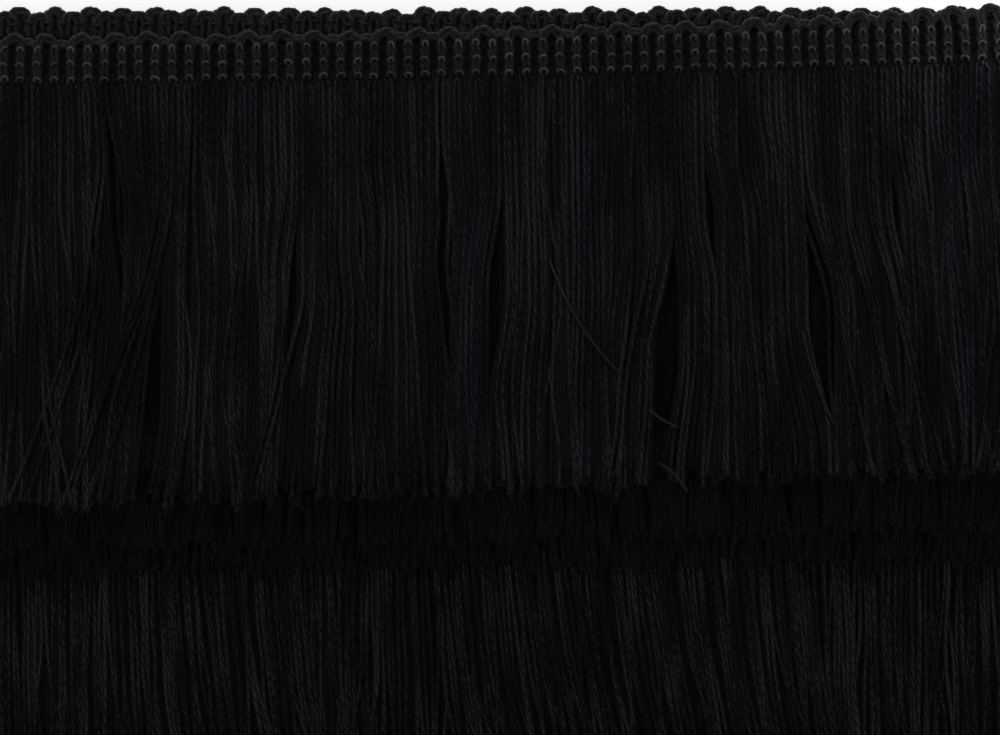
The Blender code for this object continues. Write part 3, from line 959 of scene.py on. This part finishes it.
def satin_yarn(name, dark, light, neutral, turns, depth, roughness=0.6, gloss=0.35, fuzz=0.05, glint=1.0):
    """Twisted satin yarn.

    The fibre coordinates give the distance from the seam between the two plies, which is
    `depth` mm deep and painted darker, as shade in the crease. On a surface that isn't
    twisted itself the seam winds round, with so many `turns` a millimetre. Streaks along
    the fibres and patches along the trim move the colour between `dark` and the yarn's
    own, from `light` to `neutral`. The gloss rises `glint` times on the lightest streaks
    and falls as much on the others.
    """
    material = bpy.data.materials.new(name)
    material.use_nodes = True
    tree = material.node_tree
    tree.nodes.clear()

    def computed(operation, *values):
        """What a maths node makes of some values."""
        return add_node(tree, "ShaderNodeMath", enumerate(values), operation=operation).outputs[0]

    def ranged(value, low, high, to_low=0.0, to_high=1.0, ease="LINEAR"):
        """A value carried from one range to another, and held to its ends."""
        limits = {"Value": value, "From Min": low, "From Max": high, "To Min": to_low, "To Max": to_high}
        return add_node(tree, "ShaderNodeMapRange", limits, interpolation_type=ease).outputs[0]

    def noise(place, scale, detail):
        """Noise over a place that is first scaled along each of its axes."""
        scaled = add_node(tree, "ShaderNodeMapping", {"Vector": place, "Scale": scale}).outputs[0]
        sockets = {"Vector": scaled, "Scale": 1.0, "Detail": detail}
        return add_node(tree, "ShaderNodeTexNoise", sockets).outputs["Fac"]

    def blended(share, first, second):
        """A colour that is a share of the way from the first to the second."""
        sockets = {"Factor": share, 6: first, 7: second}
        return add_node(tree, "ShaderNodeMix", sockets, data_type="RGBA").outputs[2]

    fibre = add_node(tree, "ShaderNodeAttribute", attribute_name="fibre").outputs["Vector"]
    tone = add_node(tree, "ShaderNodeAttribute", attribute_name="tone").outputs["Fac"]
    length = add_node(tree, "ShaderNodeSeparateXYZ", {"Vector": fibre}).outputs["Z"]
    turn = {"Vector": fibre, "Angle": computed("MULTIPLY", length, 2.0 * math.pi * turns)}
    twisted = add_node(tree, "ShaderNodeVectorRotate", turn, rotation_type="Z_AXIS").outputs[0]
    across = add_node(tree, "ShaderNodeSeparateXYZ", {"Vector": twisted}).outputs["X"]
    ply = ranged(computed("ABSOLUTE", across), 0.0, 0.3, ease="SMOOTHSTEP")
    # Streaks 0.4 mm wide and 1.5 mm long: coarser than real fibres, so that they show.
    streaks = noise(twisted, (2.4, 2.4, 0.65), 2.0)
    # Patches 5 mm wide and 25 mm long.
    patches = noise(add_node(tree, "ShaderNodeTexCoord").outputs["Object"], (200.0, 40.0, 40.0), 1.0)
    mixed = computed("MULTIPLY_ADD", tone, -0.12, computed("ADD", streaks, patches))
    # The seam between the plies is painted darker here, as shade in the crease.
    share = computed("MULTIPLY", ranged(mixed, 0.6, 1.2), ranged(ply, 0.0, 1.0, 0.25))
    colour = blended(share, linear(dark), blended(tone, linear(light), linear(neutral)))
    height = computed("MULTIPLY_ADD", streaks, 0.4, ply)
    bump = add_node(tree, "ShaderNodeBump", {"Height": height, "Strength": 0.9, "Distance": depth * MM})
    shader = add_node(tree, "ShaderNodeBsdfPrincipled", {
        "Base Color": colour, "Roughness": roughness, "IOR": 1.5,
        "Specular IOR Level": ranged(mixed, 0.85, 1.15, gloss / glint, gloss * glint),
        "Sheen Weight": fuzz, "Sheen Roughness": 0.5, "Normal": bump.outputs["Normal"]})
    add_node(tree, "ShaderNodeOutputMaterial", {"Surface": shader.outputs[0]})
    return material


# %% Yarns and threads
# A very dark grey whose lit plies are soft and even.
heading_yarn = satin_yarn("black satin yarn of the heading", "#0f0e10", "#262428", "#212022",
                          turns=0.0, depth=0.1)
# Glossier, and painted lighter as highlight, so each stitch is a small bright eye.
chain_thread_painted_highlight = satin_yarn("black glossy chain thread, painted lighter as highlight", "#29282b", "#6b696e", "#3b3a3d",
                          turns=0.6, depth=0.05, roughness=0.42, gloss=0.6)
# Matt, so the hollows between the legs look deep.
ground_thread = satin_yarn("black matt thread of the ground", "#151415", "#282728", "#232223",
                           turns=1.0, depth=0.05, roughness=0.9, gloss=0.1, fuzz=0.0)
# A trace of blue, and an uneven gloss that lights up single strands.
fringe_yarn = satin_yarn("black satin yarn of the fringe", "#0e0d15", "#252232", "#1e1c23",
                         turns=0.0, depth=0.2, roughness=0.4, gloss=0.26, glint=2.0)
# The same without the blue, and painted a little darker as shade, so the lowest pass looks further away.
shaded_lower_yarn = satin_yarn("black satin yarn of the lower pass, painted darker as shade", "#0c0c0f", "#1e1d23", "#19191b",
                        turns=0.0, depth=0.2, roughness=0.38, gloss=0.26, glint=2.0)
# Painted darker as shade, so what shows between the front strands looks deeper than they are.
shaded_under_yarn = satin_yarn("black yarn under the front strands, painted darker as shade", "#07060b", "#181621", "#131117",
                        turns=0.19, depth=0.2, roughness=0.5, gloss=0.2)
# Nearly matt, as frayed yarn is, and painted darker as shade, so that cut ends make a soft dark band.
shaded_end_yarn = satin_yarn("black yarn with frayed matt ends, painted darker as shade", "#07060a", "#171620", "#131215",
                      turns=0.0, depth=0.18, roughness=0.75, gloss=0.2)
# Lighter, partly as fibres are that lie apart and partly as painted highlight, so thin hairs still show on
# black.
loose_ply_and_highlight = satin_yarn("satin fibres, pulled loose", "#1a181e", "#33313d", "#33313d",
                       turns=1.0, depth=0.05, gloss=0.4)
# Painted almost black as shade, so the openings of the fringe look deep.
shaded_inner_yarn = satin_yarn("black matt yarn inside the stack", "#030305", "#0f0e15", "#0b0a0e",
                        turns=0.4, depth=0.1, roughness=0.8, gloss=0.15)

# %% Dress the pieces
# What each piece is made of, where it isn't plain heading or fringe yarn.
MADE_OF = {
    "heading_chain_5": chain_thread_painted_highlight, "heading_ground": ground_thread,
    "heading_ground_threads": shaded_end_yarn, "fringe_second": shaded_end_yarn, "fringe_third": shaded_end_yarn,
    "fringe_fourth": shaded_end_yarn, "fringe_lower": shaded_lower_yarn, "fringe_under": shaded_under_yarn,
    "fringe_buried": shaded_inner_yarn, "fringe_loose_plies": loose_ply_and_highlight, "fringe_frayed_ends": loose_ply_and_highlight,
}
heading_pieces = [*heading_yarns.values(), *chain_pieces, ground, ground_rungs]
for piece in heading_pieces:
    piece.data.materials.append(MADE_OF.get(piece.name, heading_yarn))
    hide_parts("heading")
for piece in fringe_pieces:
    piece.data.materials.append(MADE_OF.get(piece.name, fringe_yarn))
    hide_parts("fringe")
print("pieces dressed:", len(heading_pieces) + len(fringe_pieces))

# %% [markdown]
# ## The picture
# The trim lies on a pale table that glows a little, so that the black yarn can be lit
# softly without the table turning grey. The main light is a wide panel beyond the looped
# edge, low enough for each layer to shade the one below. A faint small panel lights the
# heading's raised right end.

# %% Table and lights
def area_light(name, place, target, size, power):
    """A square soft light at `place` that points at `target`, in metres."""
    data = bpy.data.lights.new(name, "AREA")
    data.size, data.energy = size, power
    light = add_object(name, data)
    light.location = place
    aim = np.array(target) - np.array(place)
    light.rotation_euler = (math.atan2(math.hypot(aim[0], aim[1]), -aim[2]), 0.0,
                            math.atan2(aim[1], aim[0]) - math.pi / 2.0)
    return light


FLOOR_REACH = 2.0
FLOOR_DROP = 0.0001
floor_mesh = bpy.data.meshes.new("table")
corner_signs = ((-1.0, -1.0), (1.0, -1.0), (1.0, 1.0), (-1.0, 1.0))
floor_corners = [(x * FLOOR_REACH, y * FLOOR_REACH, -FLOOR_DROP) for x, y in corner_signs]
floor_mesh.from_pydata(floor_corners, [], [(0, 1, 2, 3)])
floor = add_object("table", floor_mesh)
pale = bpy.data.materials.new("pale light table")
pale.use_nodes = True
pale_sockets = pale.node_tree.nodes["Principled BSDF"].inputs
pale_sockets["Base Color"].default_value = linear("#f2f2f2")
pale_sockets["Roughness"].default_value = 0.8
pale_sockets["Emission Color"].default_value = linear("#ffffff")
pale_sockets["Emission Strength"].default_value = 0.75
floor_mesh.materials.append(pale)
area_light("wide panel", (-0.15, 0.95, 0.75), (0.0, -0.05, 0.0), 0.5, 1.6)
area_light("overhead panel", (0.0, -0.1, 1.5), (0.0, -0.05, 0.0), 2.0, 4.3)
area_light("side panel", (0.118, 0.03, 0.028), (0.102, 0.021, 0.012), 0.02, 0.0025)
world = bpy.data.worlds.new("dim room")
world.use_nodes = True
world_sockets = world.node_tree.nodes["Background"].inputs
world_sockets["Color"].default_value = linear("#ffffff")
world_sockets["Strength"].default_value = 0.05
bpy.context.scene.world = world
bpy.context.scene.view_settings.view_transform = "Standard"

# %% [markdown]
# The camera looks straight down from 1.1 m through a long lens, and it sees 216 mm of
# the trim's length at the height of the top layer.

# %% Camera
SENSOR = 36.0
CAMERA_HEIGHT = 1.1
VIEW_WIDTH = 0.216
VIEW_LEVEL = 0.010
VIEW_CENTRE_Y = -0.0514
camera_data = bpy.data.cameras.new("camera")
camera_data.sensor_width = SENSOR
camera_data.lens = SENSOR * (CAMERA_HEIGHT - VIEW_LEVEL) / VIEW_WIDTH
camera = add_object("camera", camera_data)
camera.location = (0.0, VIEW_CENTRE_Y, CAMERA_HEIGHT)
bpy.context.scene.camera = camera
